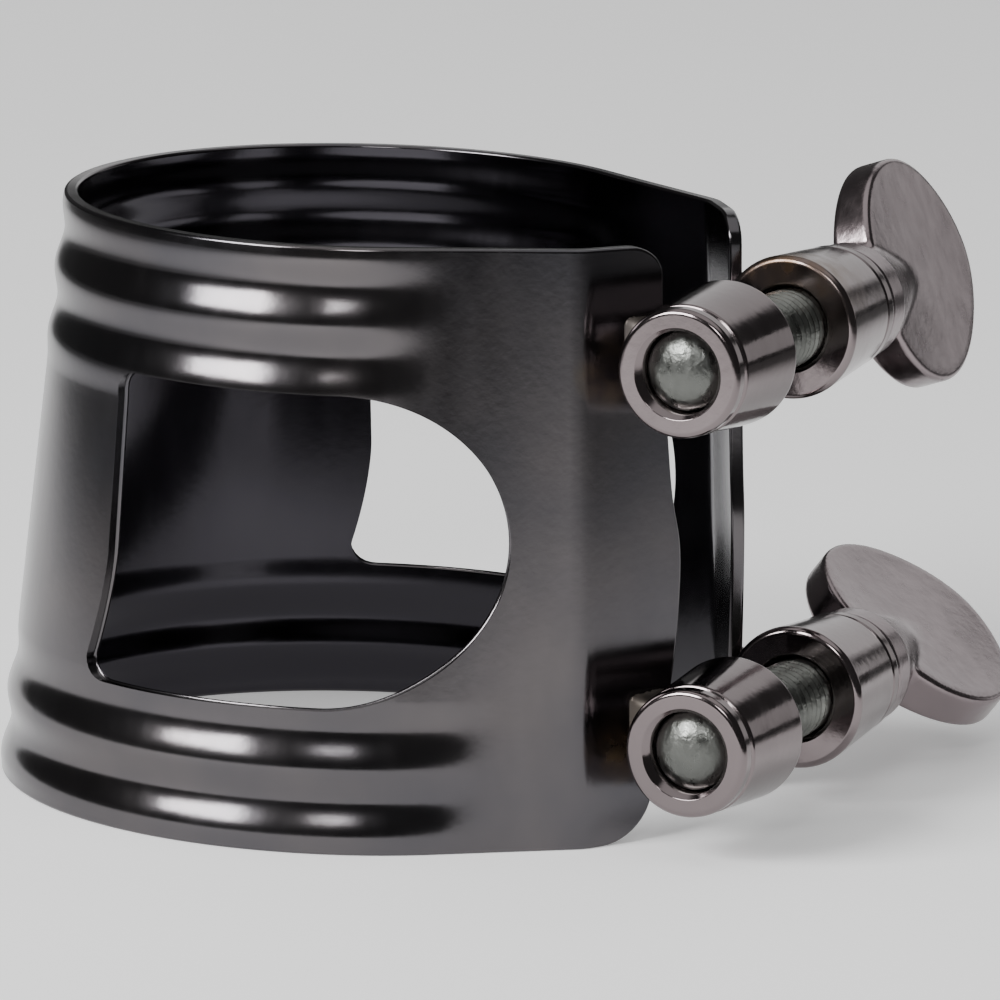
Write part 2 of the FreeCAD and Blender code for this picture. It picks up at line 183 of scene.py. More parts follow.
# ---------------------------------------------------------------- band surface
def section(z):
    """The half section of the band at height z: its points, directions and lengths."""
    share = np.asarray(z, float) / HEIGHT

    def between(key):
        low, top = (np.array(rim[key], float) for rim in (LOW_RIM, TOP_RIM))
        return low + (top - low) * (share[..., None] if low.ndim else share)

    radius, knee, lip = between("radius"), between("knee"), between("lip")
    angle = np.arctan2(knee[..., 1], knee[..., 0]) + np.arccos(radius / np.linalg.norm(knee, axis=-1))
    outward = np.stack([np.cos(angle), np.sin(angle)], -1)
    touch = outward * radius[..., None]
    run, lip_run = unit(knee - touch), unit(lip - knee)
    turn = np.arccos(np.clip((run * lip_run).sum(-1), -1, 1))
    setback = (BEND * np.tan(turn / 2))[..., None]
    start, end = knee - run * setback, knee + lip_run * setback
    lengths = np.stack([radius * (math.pi / 2 - angle), np.linalg.norm(start - touch, axis=-1),
                        BEND * turn, np.linalg.norm(lip - end, axis=-1)], -1)
    return radius, angle, touch, run, start - outward * BEND, end, lip_run, lengths


STATIONS = np.concatenate([[0.0], np.cumsum(section(HEIGHT / 2)[-1])])


def base_surface(u, z):
    """Outer face of the band without its waves, and the distance round it from the spine."""
    radius, angle, touch, run, centre, end, lip_run, lengths = section(z)
    side, reach = np.where(u < 0, -1.0, 1.0), np.abs(u)
    share = [np.clip((reach - STATIONS[i]) / (STATIONS[i + 1] - STATIONS[i]), 0, 1) for i in range(4)]
    around = math.pi / 2 - (math.pi / 2 - angle) * share[0]
    bent = angle - lengths[..., 2] / BEND * share[2]
    pieces = [
        np.stack([np.cos(around), np.sin(around)], -1) * radius[..., None],
        touch + run * (lengths[..., 1] * share[1])[..., None],
        centre + np.stack([np.cos(bent), np.sin(bent)], -1) * BEND,
        end + lip_run * (lengths[..., 3] * share[3])[..., None],
    ]
    place = np.clip(np.searchsorted(STATIONS, reach) - 1, 0, 3)
    flat = np.choose(place[..., None], pieces)
    along = sum(lengths[..., i] * share[i] for i in range(4))
    return np.stack([flat[..., 0] * side, flat[..., 1], np.broadcast_to(z, side.shape)], -1), along


def normals_of(surface, u, z, step=0.02):
    across = surface(u + step, z) - surface(u - step, z)
    upward = surface(u, z + step) - surface(u, z - step)
    return unit(np.cross(upward, across))


def level_out(u, z):
    """Outward direction at each place, kept level so that both rims stay flat."""
    direction = normals_of(lambda a, b: base_surface(a, b)[0], u, z)
    direction[..., 2] = 0
    return unit(direction)


def wave(knots, z):
    """Rolled wave that is level at each (height, rise) knot and flat beyond them."""
    places, values = (np.array(column) for column in zip(*knots))
    index = np.clip(np.searchsorted(places, z) - 1, 0, len(places) - 2)
    share = smooth_step((z - places[index]) / (places[index + 1] - places[index]))
    return values[index] + (values[index + 1] - values[index]) * share


def skin(u, z, depth):
    """A face of the sheet at a depth below the outer face, waves rolled into it."""
    points, along = base_surface(u, z)
    rise = sum(wave(knots, z) * smooth_step((reach - along) / WAVE_FADE) for knots, reach in WAVES)
    return points + level_out(u, z) * np.expand_dims(rise - depth, -1)


def find_u(column, z, value, first, last):
    """Where, going round the band at each height, the given coordinate takes a value."""
    tries = np.linspace(first, last, 1200)
    found = []
    for height, wanted in zip(z, value):
        there = base_surface(tries, np.full(tries.shape, height))[0][:, column]
        found.append(np.interp(-wanted, -there, tries))
    return np.array(found)


def even(points, step=CUT_STEP):
    """Points spaced evenly along a line."""
    points = np.asarray(points, float)
    gone = np.concatenate([[0], np.cumsum(np.linalg.norm(np.diff(points, axis=0), axis=1))])
    places = np.linspace(0, gone[-1], max(2, round(gone[-1] / step)) + 1)
    return np.stack([np.interp(places, gone, points[:, i]) for i in (0, 1)], -1)


def corner(x, z, radius, first, last):
    angles = np.radians(np.linspace(first, last, max(6, round(radius * abs(last - first) / 12))))
    return np.stack([x + radius * np.cos(angles), z + radius * np.sin(angles)], -1)


def window_loop(side):
    """Edge of one window, laid out on the side view and carried onto the band."""
    radius = (WINDOW_TOP - WINDOW_LOW) / 2
    flare_heights = np.linspace(WINDOW_LOW + WINDOW_CORNER, WINDOW_FLARE_START, 16)
    sweep = (WINDOW_FLARE_START - flare_heights) / (WINDOW_FLARE_START - WINDOW_LOW)
    flare = np.stack([WINDOW_SPINE + WINDOW_FLARE * sweep ** 1.6, flare_heights], -1)
    low_corner = flare[0, 0] - WINDOW_CORNER
    outline = np.concatenate([
        corner(WINDOW_CENTRE, WINDOW_LOW + radius, radius, 90, 270),
        corner(low_corner, WINDOW_LOW + WINDOW_CORNER, WINDOW_CORNER, -90, 0), flare,
        corner(WINDOW_SPINE - WINDOW_CORNER, WINDOW_TOP - WINDOW_CORNER, WINDOW_CORNER, 0, 90)])
    outline = even(np.concatenate([outline, outline[:1]]))[:-1]
    u = find_u(1, outline[:, 1], outline[:, 0], 0, STATIONS[2])
    loop = np.stack([u * side, outline[:, 1]], -1)
    return loop if side < 0 else loop[::-1]


def sheet_loop():
    """Outer edge of the sheet: both rims and the bowed free edges of the two ears."""
    low_edge, top_edge = EAR_EDGE[0][1], EAR_EDGE[-1][1]
    heights = np.linspace(EAR_LOW_CORNER, HEIGHT - EAR_TOP_CORNER, 80)
    ear = np.concatenate([
        corner(low_edge + EAR_LOW_CORNER, EAR_LOW_CORNER, EAR_LOW_CORNER, 270, 180),
        np.stack([curve_through(EAR_EDGE, heights), heights], -1)[1:-1],
        corner(top_edge + EAR_TOP_CORNER, HEIGHT - EAR_TOP_CORNER, EAR_TOP_CORNER, 180, 90)])
    u = find_u(0, ear[:, 1], ear[:, 0], STATIONS[1], STATIONS[4])
    half = np.concatenate([[[0, 0]], np.stack([u, ear[:, 1]], -1), [[0, HEIGHT]]])
    half = even(half)
    return np.concatenate([half[:-1], half[::-1][:-1] * [-1, 1]])


def inside(points, loop):
    """Which points lie within a closed loop."""
    a, b = loop, np.roll(loop, -1, axis=0)
    result = np.zeros(len(points), bool)
    for (x0, y0), (x1, y1) in zip(a, b):
        crosses = (points[:, 1] < y0) != (points[:, 1] < y1)
        result ^= crosses & (points[:, 0] < x0 + (points[:, 1] - y0) * (x1 - x0) / (y1 - y0 or 1e-12))
    return result


def sheet_heights():
    """Rows of the sheet: close together over the rolled waves and wider apart on plain metal."""
    rows = [0.0]
    while rows[-1] < HEIGHT:
        plain = LOW_WAVE[-1][0] < rows[-1] < TOP_WAVE[0][0]
        rows.append(rows[-1] + (COLUMN_STEP if plain else WAVE_STEP))
    return np.array(rows[:-1])


def make_band():
    """The sheet, triangulated between its cut edges, with both faces and rounded edges."""
    loops = [sheet_loop(), window_loop(-1), window_loop(1)]
    inward, inset = [], []
    for loop in loops:
        tangent = unit(np.roll(loop, -1, axis=0) - np.roll(loop, 1, axis=0))
        inward.append(np.stack([-tangent[:, 1], tangent[:, 0]], -1))
        inset.append(loop + inward[-1] * EDGE_ROUND)

    reach = STATIONS[4]
    columns = np.linspace(-reach, reach, round(reach * 2 / COLUMN_STEP))
    grid = np.stack(np.meshgrid(columns, sheet_heights(), indexing="ij"), -1).reshape(-1, 2)
    tree = kdtree.KDTree(sum(len(loop) for loop in inset))
    for index, point in enumerate(np.concatenate(inset)):
        tree.insert((point[0], point[1], 0), index)
    tree.balance()
    keep = inside(grid, inset[0]) & ~inside(grid, inset[1]) & ~inside(grid, inset[2])
    grid = np.array([point for point in grid[keep] if tree.find((point[0], point[1], 0))[2] > 0.16])

    flat = np.concatenate(inset + [grid])
    edges, first = [], 0
    for loop in inset:
        edges += [(first + i, first + (i + 1) % len(loop)) for i in range(len(loop))]
        first += len(loop)
    made = geometry.delaunay_2d_cdt([Vector(point) for point in flat], edges, [], 0, 1e-7)
    source = [origins[0] for origins in made[3]]
    faces = np.array([[source[v] for v in face] for face in made[2]])
    middle = flat[faces].mean(1)
    faces = faces[inside(middle, inset[0]) & ~inside(middle, inset[1]) & ~inside(middle, inset[2])]

    u, z = flat.T
    points, normals, quads = [], [], []
    for depth, sign in ((0.0, 1), (WALL, -1)):
        points.append(skin(u, z, depth))
        normals.append(normals_of(lambda a, b, d=depth: skin(a, b, d), u, z) * sign)
    count = len(flat)
    back = faces[:, ::-1] + count

    steps = np.radians((0, 22.5, 45, 67.5, 90))
    rings = [(math.sin(step), 0, math.cos(step)) for step in steps[1:]]
    rings += [(math.cos(step), 1, math.sin(step)) for step in steps[:-1]]
    first = total = 2 * count
    start = 0
    for loop, normal_2d in zip(loops, inward):
        size = len(loop)
        edge_out = unit(skin(*loop.T, 0.0) - skin(*(loop + normal_2d * EDGE_ROUND).T, 0.0))
        rows = [np.arange(start, start + size)]
        for away, inner, facing in rings:
            place = loop + normal_2d * EDGE_ROUND * (1 - away)
            drop = EDGE_ROUND * (1 - facing)
            points.append(skin(*place.T, WALL - drop if inner else drop))
            outward = level_out(*place.T) * (-1 if inner else 1)
            normals.append(unit(outward * facing + edge_out * away))
            rows.append(np.arange(total, total + size))
            total += size
        rows.append(np.arange(start, start + size) + count)
        for near, far in zip(rows, rows[1:]):
            quads += bridge(near, far)
        start += size
    points, normals = np.concatenate(points), np.concatenate(normals)
    faces = [tuple(face) for face in np.concatenate([faces, back])] + quads
    piece = add_mesh("band_sheet", points, turned(points, faces, normals), normals)
    # painted shade: the inner face is marked here so that the sheet material colours it darker
    shaded_inner_face = np.zeros(len(points))
    shaded_inner_face[count:2 * count] = 1.0
    piece.data.attributes.new(INSIDE, "FLOAT", "POINT").data.foreach_set("value", shaded_inner_face)
    return piece


def turned(points, faces, normals):
    """Faces wound so that each one faces the way its corners' normals point."""
    result = []
    for face in faces:
        a, b, c = points[face[0]], points[face[1]], points[face[2]]
        facing = np.cross(b - a, c - a) @ (normals[face[0]] + normals[face[1]] + normals[face[2]])
        result.append(tuple(face) if facing >= 0 else tuple(reversed(face)))
    return result


# ---------------------------------------------------------------- turned pieces
def rounded(corners, steps=5):
    """A profile with its corners (x, radius, fillet) rounded, and its normals."""
    places = [np.array(c[:2], float) for c in corners]
    points, normals = [], []
    for index, (x, r, fillet) in enumerate(corners):
        here = places[index]
        before = unit(here - places[index - 1]) if index else None
        after = unit(places[index + 1] - here) if index < len(places) - 1 else None
        if before is None or after is None:
            way = after if before is None else before
            points.append(here)
            normals.append((-way[1], way[0]))
            continue
        turn = math.atan2(before[0] * after[1] - before[1] * after[0], float(before @ after))
        back = fillet * abs(math.tan(turn / 2))
        for share in np.linspace(0, 1, steps):
            angle = turn * share
            way = np.array([before[0] * math.cos(angle) - before[1] * math.sin(angle),
                            before[0] * math.sin(angle) + before[1] * math.cos(angle)])
            side = math.copysign(1, turn)
            centre = here - before * back + side * fillet * np.array([-before[1], before[0]])
            points.append(centre - side * fillet * np.array([-way[1], way[0]]))
            normals.append((-way[1], way[0]))
    return np.array(points), np.array(normals)


def revolve(name, corners, axis, mirrored):
    """A turned ring on a screw axis from its rounded profile."""
    profile, facing = rounded(corners)
    flip = -1 if mirrored else 1
    angles = np.linspace(0, math.tau, POST_SEGMENTS, endpoint=False)
    ring = np.stack([np.cos(angles), np.sin(angles)], -1)
    points, normals = [], []
    for (x, r), (nx, nr) in zip(profile, facing):
        points.append(np.column_stack([np.full(POST_SEGMENTS, flip * x), axis + r * ring]))
        normals.append(unit(np.column_stack([np.full(POST_SEGMENTS, flip * nx), nr * ring])))
    rows = np.arange(len(profile) * POST_SEGMENTS).reshape(len(profile), POST_SEGMENTS)
    faces = [face for near, far in zip(rows, np.roll(rows, -1, axis=0)) for face in bridge(near, far)]
    points, normals = np.concatenate(points), np.concatenate(normals)
    return add_mesh(name, points, turned(points, faces, normals), normals)


def axis_of(level):
    """Where a screw axis crosses the YZ plane, in millimetres, read from its joint."""
    joint = [joint for joint in frame["joints"] if joint["name"] == f"{level}_screw_turn"][0]
    return np.array(joint["pos_m"][1:]) / MM


def make_post(level, side):
    """Turned barrel: a cone, a groove and a ring at its outer end, with a mouth at each end."""
    ring_in = POST_OUT - POST_RING
    corners = [
        (POST_IN + BORE_MOUTH, BORE, 0.02), (POST_IN, BORE + BORE_MOUTH, 0.04),
        (POST_IN, POST_IN_RADIUS, 0.3), (ring_in - 0.22, POST_OUT_RADIUS + 0.04, 0.12),
        (ring_in - 0.1, POST_OUT_RADIUS - POST_GROOVE, 0.05), (ring_in, POST_OUT_RADIUS, 0.12),
        (POST_OUT, POST_OUT_RADIUS, 0.28), (POST_OUT, BORE + BORE_MOUTH, 0.06),
        (POST_OUT - BORE_MOUTH, BORE, 0.02),
    ]
    return revolve(f"{level}_{side}_barrel", corners, axis_of(level), side == "threaded")


def make_shank(level):
    """Screw shank with a helical thread between its domed tip and the head."""
    tip = -(POST_OUT - TIP_BELOW_FACE)
    axis = axis_of(level)
    dome, dome_radii = (np.array(column) for column in zip(*TIP_DOME))
    dome = dome + tip
    turns = np.arange(dome[-1] + 0.05, THREAD_END, SCREW_PITCH / 12)
    rows = np.concatenate([dome, turns, [THREAD_END + 0.2, HEAD_START + HEAD_SEAT]])
    radii = np.interp(rows, dome, dome_radii)
    angles = np.linspace(0, math.tau, SHANK_SEGMENTS, endpoint=False)
    points = []
    for x, radius in zip(rows, radii):
        phase = (x / SCREW_PITCH - angles / math.tau) % 1
        ramp = smooth_step((x - dome[-1]) / 0.8) * smooth_step((THREAD_END - x) / 0.5)
        r = radius - ramp * THREAD_DEPTH * (1 - np.abs(2 * phase - 1)) ** 1.2
        points.append(np.column_stack([np.full(SHANK_SEGMENTS, x),
                                       axis[0] + r * np.cos(angles), axis[1] + r * np.sin(angles)]))
    rings = np.arange(len(rows) * SHANK_SEGMENTS).reshape(len(rows), SHANK_SEGMENTS)
    faces = [face for near, far in zip(rings, rings[1:]) for face in bridge(near, far)]
    faces += [tuple(rings[0]), tuple(rings[-1][::-1])]
    return add_mesh(f"{level}_screw", np.concatenate(points), faces)


# ---------------------------------------------------------------- cast and soldered pieces
def soft_min(a, b, blend):
    mix = np.clip(0.5 + 0.5 * (b - a) / blend, 0, 1)
    return b + (a - b) * mix - blend * mix * (1 - mix)


def soft_max(a, b, blend):
    return -soft_min(-a, -b, blend)


def skin_of(field, low, high, step):
    """Mesh of the surface where a field is zero: one point a cell, drawn onto the surface."""
    axes = [np.arange(a, b + step, step) for a, b in zip(low, high)]
    nodes = np.stack(np.meshgrid(*axes, indexing="ij"), -1)
    solid = field(nodes) < 0
    shape = np.array(solid.shape) - 1
    corners = sum(solid[i:i + shape[0], j:j + shape[1], k:k + shape[2]].astype(int)
                  for i in (0, 1) for j in (0, 1) for k in (0, 1))
    active = (corners > 0) & (corners < 8)
    number = np.full(active.shape, -1)
    number[active] = np.arange(active.sum())
    points = nodes[:-1, :-1, :-1][active] + step / 2

    def slope(places, delta=1e-3):
        return np.stack([(field(places + offset) - field(places - offset)) / (2 * delta)
                         for offset in np.eye(3) * delta], -1)

    for _ in range(5):
        steepness = slope(points)
        move = field(points)[:, None] * steepness / np.maximum((steepness ** 2).sum(-1, keepdims=True), 0.05)
        points = points - np.clip(move, -step, step)
    faces = []
    for axis in range(3):
        one, two = (axis + 1) % 3, (axis + 2) % 3
        lower = np.moveaxis(solid, (axis, one, two), (0, 1, 2))
        cells = np.moveaxis(number, (axis, one, two), (0, 1, 2))
        change = lower[:-1, 1:-1, 1:-1] != lower[1:, 1:-1, 1:-1]
        i, j, k = np.nonzero(change)
        quad = np.stack([cells[i, j, k], cells[i, j + 1, k], cells[i, j + 1, k + 1], cells[i, j, k + 1]], -1)
        outward = lower[i, j + 1, k + 1]
        faces.append(np.where(outward[:, None], quad, quad[:, ::-1]))
    return points, np.concatenate(faces), unit(slope(points))


def make_head(level):
    """Cast thumb head: a short neck faired into a round blade in the plane of the axis."""
    def field(places):
        x, across, through = (places[..., i] for i in range(3))
        off_axis = np.hypot(across, through)
        neck_radius = NECK_RADIUS - NECK_TAPER * np.clip(x - HEAD_START - NECK_SHOULDER, 0, None)
        neck = soft_max(off_axis - neck_radius, HEAD_START - x, 0.2)
        from_centre = np.hypot(x - BLADE_CENTRE, across - BLADE_OFFSET)
        thin = smooth_step(np.abs(across) / BLADE_RADIUS) * (BLADE_THICKNESS - BLADE_RIM) / 2
        dish = BLADE_DISH * np.clip(1 - (from_centre / (BLADE_RADIUS - 0.5)) ** 2, 0, None)
        face = np.abs(through) - BLADE_THICKNESS / 2 + thin + dish
        blade = soft_max(from_centre - BLADE_RADIUS, face, 0.28)
        return soft_min(neck, blade, 0.5)

    low = (HEAD_START - 0.3, -BLADE_RADIUS - 0.4, -NECK_RADIUS - 0.4)
    high = (HEAD_END + 0.4, BLADE_RADIUS + BLADE_OFFSET + 0.4, NECK_RADIUS + 0.4)
    points, faces, normals = skin_of(field, low, high, HEAD_STEP)
    angle = math.radians(BLADE_TURN[level])
    across = np.array([0, math.cos(angle), math.sin(angle)])
    through = np.array([0, -math.sin(angle), math.cos(angle)])
    frame_axes = np.stack([np.array([1.0, 0, 0]), across, through])
    points, normals = points @ frame_axes, normals @ frame_axes
    points[:, 1:] += axis_of(level)
    return add_mesh(f"{level}_head", points, turned(points, faces, normals), normals)


def make_braze(level, side):
    """Solder foot between an ear and its barrel, flared where it wets each of them."""
    axis_y, axis_z = axis_of(level)
    *_, end, lip_run, _ = section(axis_z)
    outward = np.array([-lip_run[1], lip_run[0]])
    flip = -1 if side == "threaded" else 1

    def field(places):
        x, y, z = places[..., 0], places[..., 1], places[..., 2] - axis_z
        off_ear = (x - end[0]) * outward[0] + (y - end[1]) * outward[1]
        barrel = np.interp(x, (POST_IN, POST_OUT), (POST_IN_RADIUS, POST_OUT_RADIUS))
        off_barrel = np.hypot(y - axis_y, z) - barrel
        flare = 0.3 * np.exp(-np.abs(off_ear) / 0.3) + 0.25 * np.exp(-np.abs(off_barrel) / 0.3)
        lump = 0.05 * np.sin(3.1 * x + 2.0 * z) * np.sin(2.3 * y - 1.7 * z)
        ends = np.maximum(BRAZE_IN - x, x - BRAZE_OUT) - 0.3 * flare
        foot = soft_max(np.abs(z) - BRAZE_HALF_HEIGHT - flare - lump, ends, 0.4)
        foot = soft_max(foot, -off_ear - WALL / 2, 0.2)
        return soft_max(foot, -off_barrel - 0.4, 0.2)

    low = (BRAZE_IN - 0.6, axis_y - 0.5, axis_z - 2.6)
    high = (BRAZE_OUT + 0.6, end[1] + 2.2, axis_z + 2.6)
    points, faces, normals = skin_of(field, low, high, BRAZE_STEP)
    points[:, 0] *= flip
    normals[:, 0] *= flip
    return add_mesh(f"{level}_{side}_solder", points, turned(points, faces, normals), normals)


# ---------------------------------------------------------------- materials
def new_material(name):
    material = bpy.data.materials.new(name)
    material.use_nodes = True
    tree = material.node_tree
    shader = tree.nodes["Principled BSDF"]
    shader.inputs["Metallic"].default_value = 1.0
    place = tree.nodes.new("ShaderNodeTexCoord").outputs["Object"]
    return material, tree, shader, place


def add_noise(tree, place, scale, detail=3.0, stretch=None):
    if stretch is not None:
        mapping = tree.nodes.new("ShaderNodeMapping")
        mapping.inputs["Scale"].default_value = stretch
        tree.links.new(place, mapping.inputs["Vector"])
        place = mapping.outputs["Vector"]
    noise = tree.nodes.new("ShaderNodeTexNoise")
    noise.inputs["Scale"].default_value = scale
    noise.inputs["Detail"].default_value = detail
    tree.links.new(place, noise.inputs["Vector"])
    return noise.outputs["Fac"]


def add_range(tree, value, low, high, to_low, to_high):
    node = tree.nodes.new("ShaderNodeMapRange")
    for name, amount in (("From Min", low), ("From Max", high), ("To Min", to_low), ("To Max", to_high)):
        node.inputs[name].default_value = amount
    tree.links.new(value, node.inputs["Value"])
    return node.outputs["Result"]


def add_mix(tree, share, first, second):
    node = tree.nodes.new("ShaderNodeMix")
    node.data_type = "RGBA"
    tree.links.new(share, node.inputs["Factor"])
    for socket, colour in ((node.inputs["A"], first), (node.inputs["B"], second)):
        if isinstance(colour, tuple):
            socket.default_value = (*colour, 1.0)
        else:
            tree.links.new(colour, socket)
    return node.outputs["Result"]


def add_math(tree, kind, first, second):
    node = tree.nodes.new("ShaderNodeMath")
    node.operation = kind
    node.use_clamp = True
    for socket, value in zip(node.inputs, (first, second)):
        if isinstance(value, float):
            socket.default_value = value
        else:
            tree.links.new(value, socket)
    return node.outputs["Value"]


def add_patch(tree, place, centre, radius):
    """A ragged patch of the surface round a point: 1 at the point, 0 beyond the radius."""
    distance = tree.nodes.new("ShaderNodeVectorMath")
    distance.operation = "DISTANCE"
    distance.inputs[1].default_value = centre
    tree.links.new(place, distance.inputs[0])
    core = add_range(tree, distance.outputs["Value"], 0.35 * radius, radius, 1.0, 0.0)
    ragged = add_range(tree, add_noise(tree, place, STAIN_SCALE, 4.0), 0.35, 0.62, 0.0, 1.0)
    return add_math(tree, "MULTIPLY", core, ragged)


def add_bump(tree, shader, height, strength):
    bump = tree.nodes.new("ShaderNodeBump")
    bump.inputs["Strength"].default_value = strength
    bump.inputs["Distance"].default_value = PIT_DEPTH
    tree.links.new(height, bump.inputs["Height"])
    tree.links.new(bump.outputs["Normal"], shader.inputs["Normal"])


NICKEL_DARK = (0.082, 0.08, 0.088)
NICKEL_PALE = (0.122, 0.112, 0.114)
# painted shade: darker colour for the inner face of the band, standing in for the shade inside the ring
INSIDE_PAINTED_SHADE = (0.055, 0.052, 0.06)
TURNED_DARK = (0.165, 0.14, 0.142)
TURNED_PALE = (0.22, 0.187, 0.19)
CAST_DARK = (0.22, 0.185, 0.192)
CAST_PALE = (0.31, 0.262, 0.27)
STAIN = (0.19, 0.145, 0.09)
# brown tarnish, darkened further as painted shade at the inner end of the far barrel, in the gap between the
# posts
TARNISH_AND_SHADE = (0.13, 0.085, 0.055)
STEEL_DARK = (0.06, 0.062, 0.06)
STEEL_PALE = (0.2, 0.205, 0.19)
# solder colour, darkened as painted shade in the corners between the ears and the barrels
SOLDER_AND_SHADE = (0.075, 0.063, 0.05)
CLOUD_SCALE = 130.0
STAIN_SCALE = 620.0
PIT_SCALE = 2600.0
PIT_DEPTH = 0.00002
STAIN_ROUGHENS = 0.16


def plated(name, dark, pale, rough, patches=(), grain=900.0, bump=0.25, inner=None):
    """Bright plate over brass: cloudy colour, fine scuffs and stained patches, some with painted shade; an
    inner colour, when given, is painted on the sheet's inner face as shade.
    """
    material, tree, shader, place = new_material(name)
    cloud = add_range(tree, add_noise(tree, place, CLOUD_SCALE, 4.0), 0.3, 0.7, 0.0, 1.0)
    colour = add_mix(tree, cloud, dark, pale)
    scuff = add_noise(tree, place, grain, 6.0, (1.0, 1.0, 0.35))
    roughness = add_range(tree, scuff, 0.3, 0.75, rough[0], rough[1])
    # patches mix in their colour: real stains, and on the upper plain barrel tarnish with painted shade
    for centre, radius, patch_colour in patches:
        patch = add_patch(tree, place, centre, radius)
        colour = add_mix(tree, patch, colour, patch_colour)
        roughness = add_math(tree, "ADD", roughness, add_math(tree, "MULTIPLY", patch, STAIN_ROUGHENS))
    # painted shade: the inner face of the sheet takes the darker inner colour
    if inner is not None:
        reverse = tree.nodes.new("ShaderNodeAttribute")
        reverse.attribute_name = INSIDE
        colour = add_mix(tree, reverse.outputs["Fac"], colour, inner)
    tree.links.new(colour, shader.inputs["Base Color"])
    tree.links.new(roughness, shader.inputs["Roughness"])
    add_bump(tree, shader, add_noise(tree, place, PIT_SCALE, 5.0), bump)
    return material


def points_round_posts(away, rise=0.0):
    """The four places where a barrel meets its ear, moved along X and Z, in metres."""
    return [(side * away * MM, (axis_of(level)[0] + 3.9) * MM, (axis_of(level)[1] + rise) * MM)
            for level in LEVELS for side in (-1, 1)]


def paint(piece, material):
    piece.data.materials.clear()
    piece.data.materials.append(material)


# ---------------------------------------------------------------- build
band = make_band()
sheet_metal = plated("black_nickel_sheet", NICKEL_DARK, NICKEL_PALE, (0.15, 0.2),
                     [(point, 0.0018, STAIN) for point in points_round_posts(6.3, -0.6)],
                     bump=0.12, inner=INSIDE_PAINTED_SHADE)
paint(band, sheet_metal)
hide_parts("band")
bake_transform(band)

SIDES = {"threaded": "near_side", "plain": "far_side"}
turned_metal = plated("black_nickel_turned", TURNED_DARK, TURNED_PALE, (0.08, 0.18))
# tarnish and painted shade: a darker brown patch over the inner end of the upper plain barrel, facing the gap
tarnished_and_shaded = plated("black_nickel_tarnish_and_painted_shade", TURNED_DARK, TURNED_PALE, (0.1, 0.2), [
    ((POST_IN * MM, axis_of("upper")[0] * MM, (axis_of("upper")[1] + POST_IN_RADIUS) * MM), 0.0042, TARNISH_AND_SHADE)])
# solder and painted shade: the solder feet in the corners between ears and barrels take a darker colour
solder_and_shade = plated("silver_solder", SOLDER_AND_SHADE, NICKEL_PALE, (0.4, 0.6), bump=0.8)
steel = plated("bright_screw_steel", STEEL_DARK, STEEL_PALE, (0.2, 0.5), grain=2400.0, bump=2.5)
cast_metal = plated("black_nickel_cast", CAST_DARK, CAST_PALE, (0.18, 0.3), grain=1500.0, bump=0.6)

for level in LEVELS:
    for side, body in SIDES.items():
        post = make_post(level, side)
        paint(post, tarnished_and_shaded if (level, side) == ("upper", "plain") else turned_metal)
        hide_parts(f"{level}_{side}_post")
        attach(post, body)
        braze = make_braze(level, side)
        paint(braze, solder_and_shade)
        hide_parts(f"{level}_{side}_braze")
        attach(braze, body)
    shank = make_shank(level)
    paint(shank, steel)
    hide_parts(f"{level}_screw_shank")
    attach(shank, f"{level}_screw")
    head = make_head(level)
    paint(head, cast_metal)
    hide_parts(f"{level}_thumb_head")
    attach(head, f"{level}_screw")

# ---------------------------------------------------------------- stage, light and camera
CAMERA_AZIMUTH = -65.926
CAMERA_ELEVATION = 12.02
CAMERA_ROLL = 1.533
CAMERA_DISTANCE = 379.097
CAMERA_TARGET = (0.9354, -6.1101, 12.2961)
CAMERA_LENS = 322.37
FLOOR_RADIUS = 600.0
# painted pool of light on the floor: the oval where the floor is pale and glows
LIGHT_POOL_CENTRE = (55.0, 24.0)
LIGHT_POOL_LENGTH = 300.0
LIGHT_POOL_WIDTH = 92.0
FLOOR_GLOW = 0.3
FLOOR_FAR = (0.16, 0.16, 0.16)
SKY_LOW = 0.07
SKY_HIGH = 2.2
BACKDROP_GLOW = 1.8
BACKDROP_TOWARD = (0.9, 0.11, 0.423)


def direction(azimuth, elevation):
    a, e = math.radians(azimuth), math.radians(elevation)
    return np.array([math.sin(a) * math.cos(e), -math.cos(a) * math.cos(e), math.sin(e)])


def look_along(away, roll=0.0):
    """Rotation for a camera or light that looks back along a direction, rolled about it."""
    side = unit(np.cross([0, 0, 1.0], away))
    rise = np.cross(away, side)
    turn = math.radians(roll)
    right = side * math.cos(turn) + rise * math.sin(turn)
    up = rise * math.cos(turn) - side * math.sin(turn)
    return Matrix([[right[i], up[i], away[i]] for i in range(3)])


def set_down(item, centre, away, distance, roll=0.0):
    place = (np.array(centre) + np.array(away) * distance) * MM
    item.matrix_world = Matrix.Translation(place) @ look_along(np.array(away), roll).to_4x4()


def add_light(name, azimuth, elevation, distance, width, height, watts):
    """A rectangular lamp aimed at the ligature; angles in degrees, lengths in millimetres."""
    light = bpy.data.lights.new(name, "AREA")
    light.shape = "RECTANGLE"
    light.size, light.size_y = width * MM, height * MM
    light.energy = watts
    lamp = bpy.data.objects.new(name, light)
    bpy.context.scene.collection.objects.link(lamp)
    set_down(lamp, (0, 0, HEIGHT / 2), direction(azimuth, elevation), distance)
    return lamp


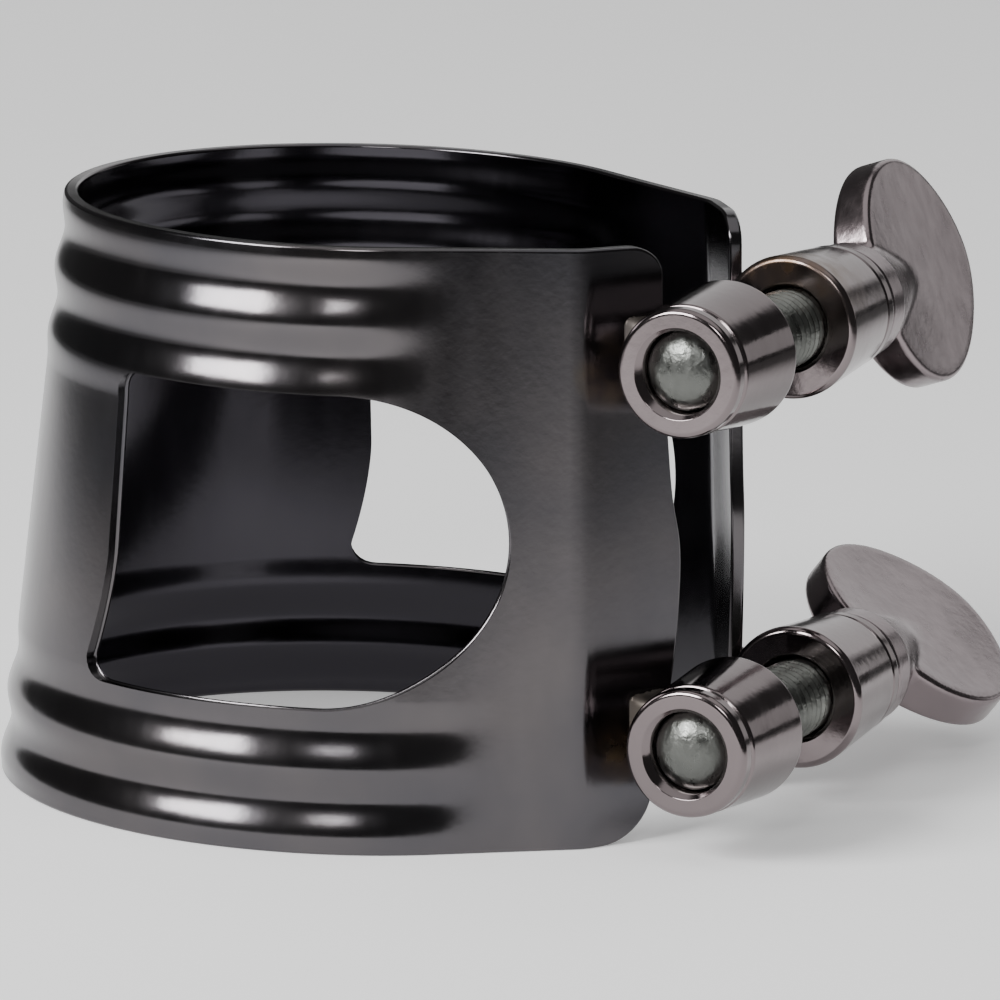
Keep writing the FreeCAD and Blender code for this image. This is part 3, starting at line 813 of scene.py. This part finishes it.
def make_floor():
    """Pale table top with a painted pool of light: it glows and is brightest in a long oval round the
    ligature, and dimmer further out.
    """
    angles = np.linspace(0, math.tau, 128, endpoint=False)
    rim = np.column_stack([np.cos(angles), np.sin(angles), 0 * angles]) * FLOOR_RADIUS
    piece = add_mesh("floor", rim, [tuple(range(128))])
    material, tree, shader, place = new_material("floor_with_painted_light_pool")
    oval = tree.nodes.new("ShaderNodeMapping")
    oval.vector_type = "TEXTURE"
    oval.inputs["Location"].default_value = (LIGHT_POOL_CENTRE[0] * MM, LIGHT_POOL_CENTRE[1] * MM, 0)
    oval.inputs["Rotation"].default_value = (0, 0, math.radians(CAMERA_AZIMUTH + 90))
    oval.inputs["Scale"].default_value = (LIGHT_POOL_LENGTH * MM, LIGHT_POOL_WIDTH * MM, 1)
    tree.links.new(place, oval.inputs["Vector"])
    distance = tree.nodes.new("ShaderNodeVectorMath")
    distance.operation = "LENGTH"
    tree.links.new(oval.outputs["Vector"], distance.inputs[0])
    # painted light: the oval sets both the floor's pale colour and its glow
    pale = add_range(tree, distance.outputs["Value"], 0.7, 1.5, 1.0, 0.0)
    grain = add_mix(tree, add_noise(tree, place, 20.0), (0.86, 0.86, 0.86), (0.9, 0.9, 0.9))
    tree.links.new(add_mix(tree, pale, FLOOR_FAR, grain), shader.inputs["Base Color"])
    tree.links.new(add_mix(tree, pale, (0.0, 0.0, 0.0), (1.0, 1.0, 1.0)), shader.inputs["Emission Color"])
    shader.inputs["Emission Strength"].default_value = FLOOR_GLOW
    shader.inputs["Metallic"].default_value = 0.0
    shader.inputs["Roughness"].default_value = 0.85
    piece.data.materials.append(material)
    return piece


make_floor()

add_light("key", -117, 31, 420, 200, 180, 2.6)
add_light("second", -72, 32, 420, 80, 90, 0.3)
add_light("low_fill", 62, 9, 420, 160, 100, 0.035)


def make_world():
    """A dim room: darker round the horizon, paler overhead and on the backdrop side."""
    world = bpy.data.worlds.new("studio")
    world.use_nodes = True
    tree = world.node_tree
    toward = tree.nodes.new("ShaderNodeTexCoord").outputs["Generated"]
    apart = tree.nodes.new("ShaderNodeSeparateXYZ")
    tree.links.new(toward, apart.inputs[0])
    overhead = add_range(tree, apart.outputs["Z"], 0.78, 0.96, SKY_LOW, SKY_HIGH)
    side = tree.nodes.new("ShaderNodeVectorMath")
    side.operation = "DOT_PRODUCT"
    side.inputs[1].default_value = BACKDROP_TOWARD
    tree.links.new(toward, side.inputs[0])
    glow = add_range(tree, side.outputs["Value"], 0.92, 0.975, 0.0, BACKDROP_GLOW)
    tree.links.new(add_math(tree, "ADD", overhead, glow), tree.nodes["Background"].inputs["Color"])
    return world


bpy.context.scene.world = make_world()

lens = bpy.data.cameras.new("camera")
lens.lens = CAMERA_LENS
lens.sensor_width = 36.0
lens.clip_start = 0.01
camera = bpy.data.objects.new("camera", lens)
bpy.context.scene.collection.objects.link(camera)
set_down(camera, CAMERA_TARGET, direction(CAMERA_AZIMUTH, CAMERA_ELEVATION), CAMERA_DISTANCE, CAMERA_ROLL)
bpy.context.scene.camera = camera
